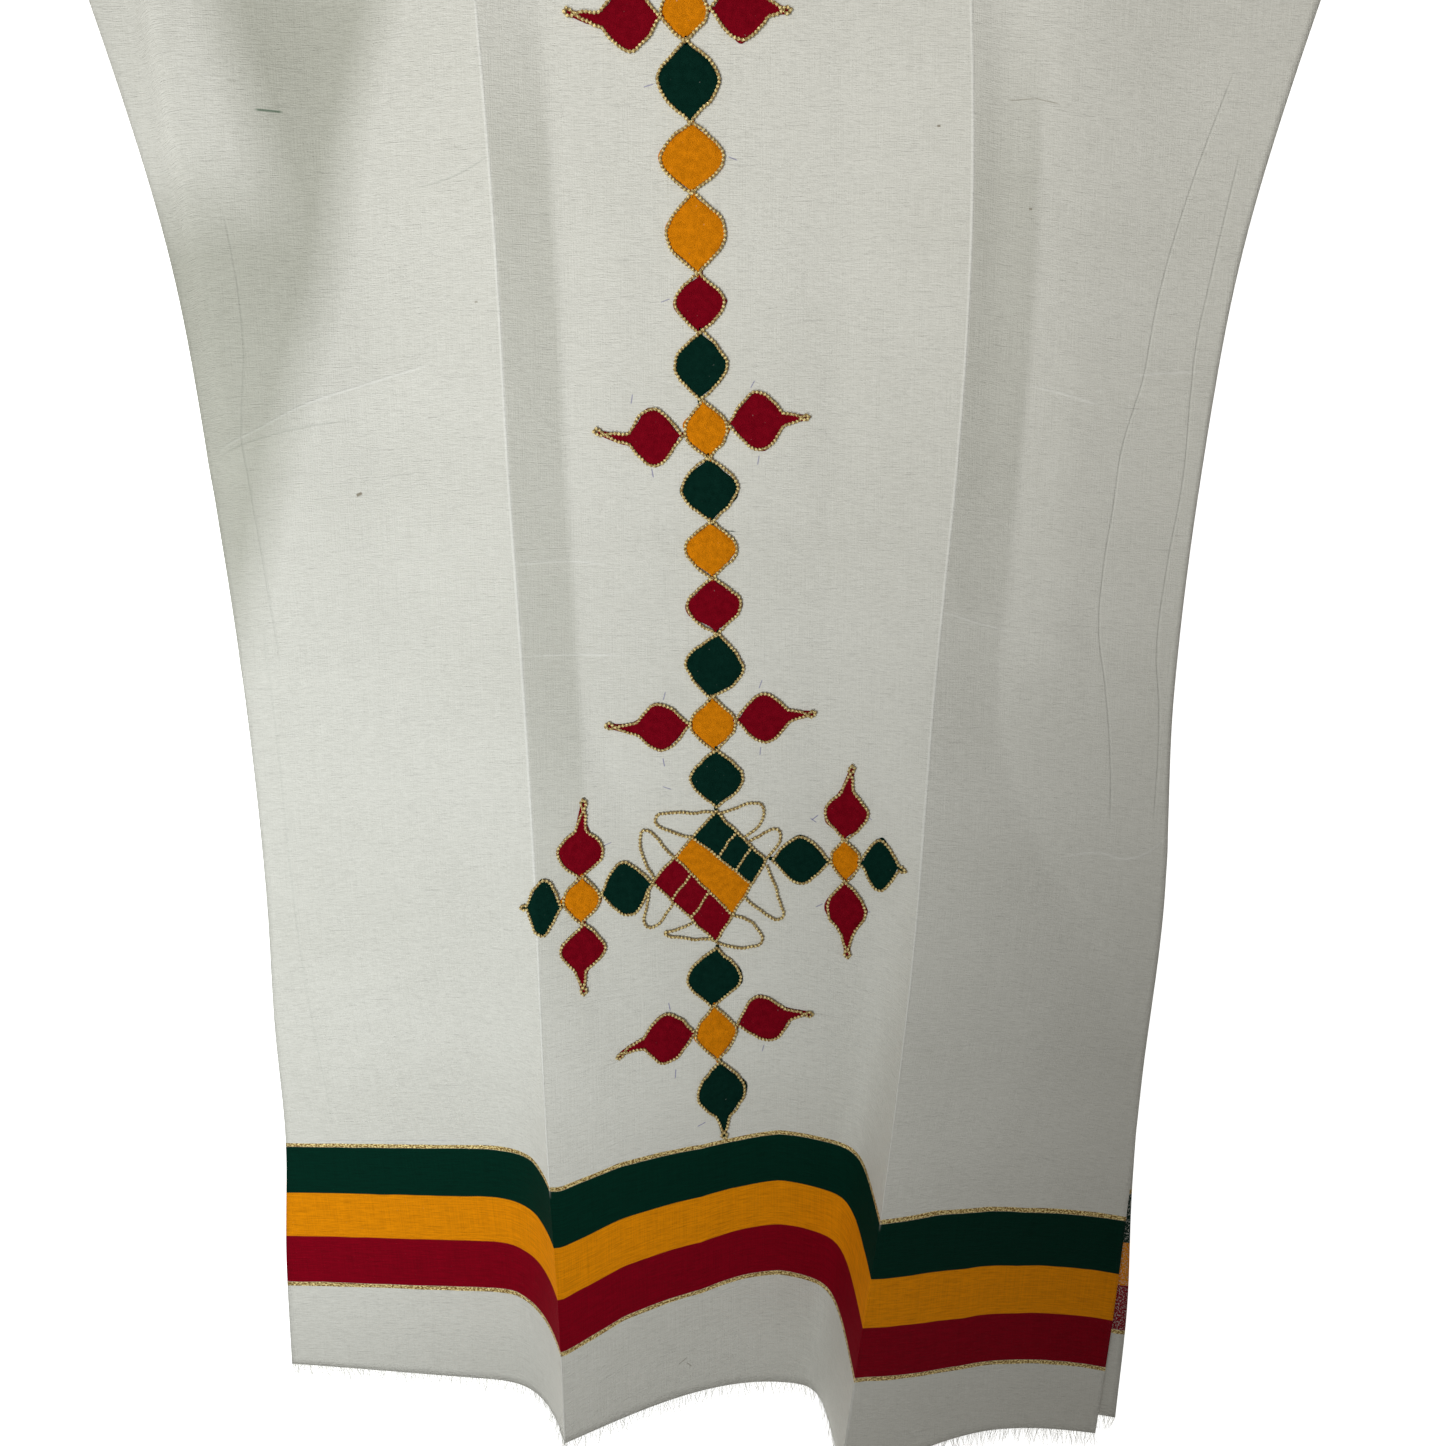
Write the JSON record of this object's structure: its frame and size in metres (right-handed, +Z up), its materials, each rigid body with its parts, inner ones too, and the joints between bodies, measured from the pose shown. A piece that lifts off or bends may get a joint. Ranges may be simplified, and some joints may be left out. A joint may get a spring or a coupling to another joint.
{
  "type": "habesha kemis dress",
  "caption": "Long loose dress of handwoven white cotton with a striped hem band and a column of felt lozenges and crosses down its front, laid flat on its back.",
  "frame": {"origin": "centre of the dress's bounding box, on the flat surface that the dress lies on", "axes": "+X to the wearer's left side, which is the viewer's right, +Y from the hem to the neck, +Z up from the surface, out of the dress's front"},
  "size_m": [1.2, 1.4389, 0.0653],
  "materials": {
    "cotton": "off-white handwoven cotton with uneven weft threads",
    "felt_green": "matt dark green felt",
    "felt_yellow": "matt golden yellow felt",
    "felt_red": "matt deep red felt"
  },
  "bodies": {
    "root": {"front_panel": "cotton", "back_panel": "cotton", "sleeve_left": "cotton", "sleeve_right": "cotton", "fringe_front": "cotton", "fringe_back": "cotton", "column_green_1": "felt_green", "column_green_2": "felt_green", "column_green_3": "felt_green", "column_green_4": "felt_green", "column_green_5": "felt_green", "column_green_6": "felt_green", "column_green_7": "felt_green", "column_yellow_1": "felt_yellow", "column_yellow_2": "felt_yellow", "column_yellow_3": "felt_yellow", "column_red_1": "felt_red", "column_red_2": "felt_red", "cross_0_left": "felt_red", "cross_0_middle": "felt_yellow", "cross_0_right": "felt_red", "cross_1_left": "felt_red", "cross_1_middle": "felt_yellow", "cross_1_right": "felt_red", "cross_2_left": "felt_red", "cross_2_middle": "felt_yellow", "cross_2_right": "felt_red", "cross_3_left": "felt_red", "cross_3_middle": "felt_yellow", "cross_3_right": "felt_red", "arm_left_green": "felt_green", "arm_left_middle": "felt_yellow", "arm_left_up": "felt_red", "arm_left_down": "felt_red", "arm_left_end": "felt_green", "arm_right_green": "felt_green", "arm_right_middle": "felt_yellow", "arm_right_up": "felt_red", "arm_right_down": "felt_red", "arm_right_end": "felt_green", "square_green": "felt_green", "square_yellow": "felt_yellow", "square_red": "felt_red"}
  },
  "joints": []
}
